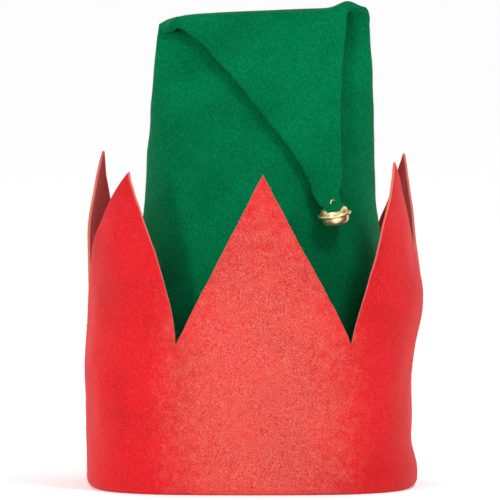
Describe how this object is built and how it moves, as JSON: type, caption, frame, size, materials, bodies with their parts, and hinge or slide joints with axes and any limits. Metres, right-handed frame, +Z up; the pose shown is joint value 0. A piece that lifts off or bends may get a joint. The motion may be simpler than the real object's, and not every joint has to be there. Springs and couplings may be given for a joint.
{
  "type": "elf hat",
  "caption": "Tall felt cone hat folded over at the top so that its tip hangs in front with a small jingle bell, inside a turned-up band cut into tall points.",
  "frame": {"origin": "the middle of the hat's footprint, on the surface that its rolled lower edge stands on", "axes": "+Z up to the fold, -Y to the front, where the tip hangs with its bell, +X to the wearer's left"},
  "size_m": [0.1984, 0.1816, 0.2839],
  "materials": {
    "green_felt": "matt green needled felt with paler flecks",
    "red_felt": "matt red needled felt, slightly mottled",
    "gold_metal": "polished pale gold plating",
    "steel": "plain steel",
    "green_thread": "dark green sewing thread"
  },
  "bodies": {
    "root": {"crown": "green_felt", "band": "red_felt", "bell_cap": "gold_metal", "bell_cup": "gold_metal", "bell_pellet": "steel", "bell_stitch": "green_thread"}
  },
  "joints": []
}
